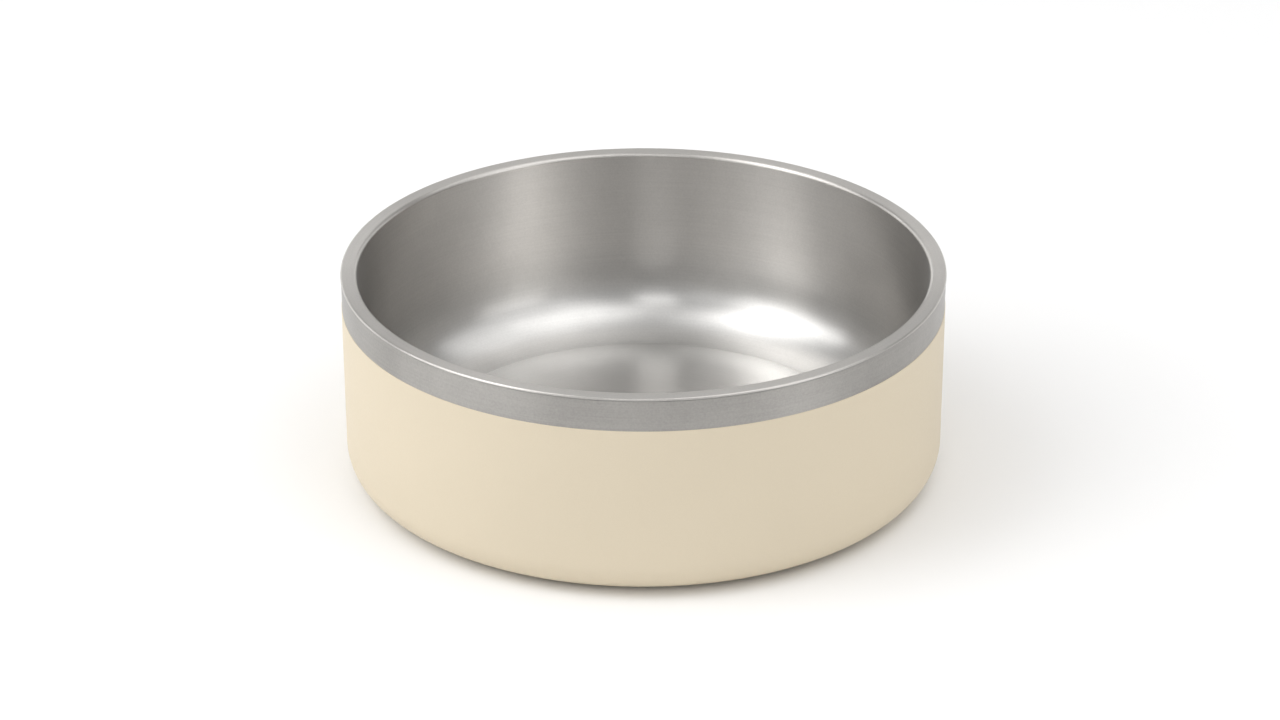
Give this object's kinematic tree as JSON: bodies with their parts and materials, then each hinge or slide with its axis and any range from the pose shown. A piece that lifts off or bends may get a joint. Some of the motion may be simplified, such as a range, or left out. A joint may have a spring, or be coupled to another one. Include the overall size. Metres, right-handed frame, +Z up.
{
  "type": "dog bowl",
  "caption": "Round straight-sided dog bowl: a brushed steel liner with a flat rim, welded into a cream coated shell that stands on a non-slip ring.",
  "frame": {"origin": "centre of the foot ring's lower face, on the surface that the bowl stands on", "axes": "+Z up along the bowl's axis, out of its mouth; X and Y lie in the surface it stands on"},
  "size_m": [0.222, 0.222, 0.08],
  "materials": {
    "liner_steel": "satin, brushed round the bowl",
    "shell_steel": "satin, brushed round the band",
    "weld_steel": "ground back, dull",
    "cream_coat": "matte powder coat",
    "foot_rubber": "matte"
  },
  "bodies": {
    "root": {"inner_bowl": "liner_steel", "outer_shell": "shell_steel", "rim_weld": "weld_steel", "powder_coat": "cream_coat", "foot_ring": "foot_rubber"}
  },
  "joints": []
}
